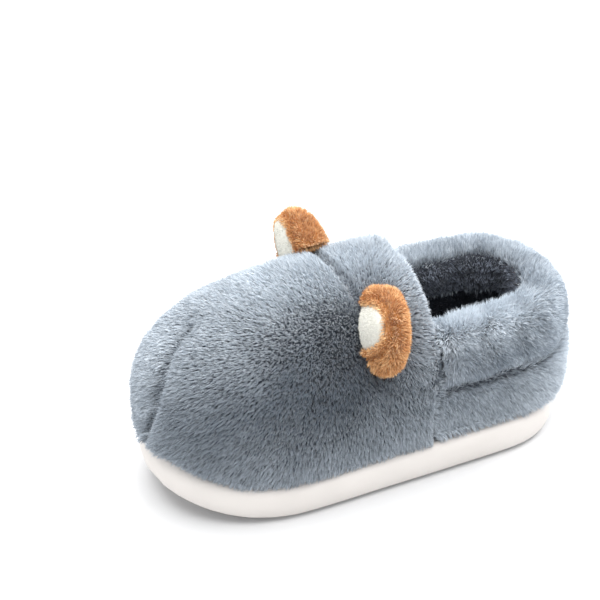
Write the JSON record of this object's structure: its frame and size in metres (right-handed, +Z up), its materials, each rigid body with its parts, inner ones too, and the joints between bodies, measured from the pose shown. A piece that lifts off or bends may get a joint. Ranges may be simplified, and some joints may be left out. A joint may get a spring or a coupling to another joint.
{
  "type": "house slipper",
  "caption": "Closed-heel plush house slipper with a padded collar, stuffed ears at the instep and a thick foam sole with a lifted toe.",
  "frame": {"origin": "on the flat underside of the sole, half way along its length, on the middle line", "axes": "+X from heel to toe, +Y to the wearer's left, which is the shoe's outer side, +Z up from the floor"},
  "size_m": [0.2726, 0.1485, 0.1377],
  "materials": {
    "foam": "smooth matt moulded foam, cream",
    "plush": "short dense plush, blue-grey, brushed down and back",
    "cuff_plush": "fluffy plush, paler blue-grey, standing out of the roll",
    "lining": "short plush, dark grey",
    "ear_plush": "short plush, tan",
    "pad_plush": "short plush, off-white"
  },
  "bodies": {
    "root": {"sole": "foam", "insole": "lining", "upper": "plush", "collar_cuff": "cuff_plush", "ear_shell_outer": "ear_plush", "ear_pad_outer": "pad_plush", "ear_shell_inner": "ear_plush", "ear_pad_inner": "pad_plush"}
  },
  "joints": []
}
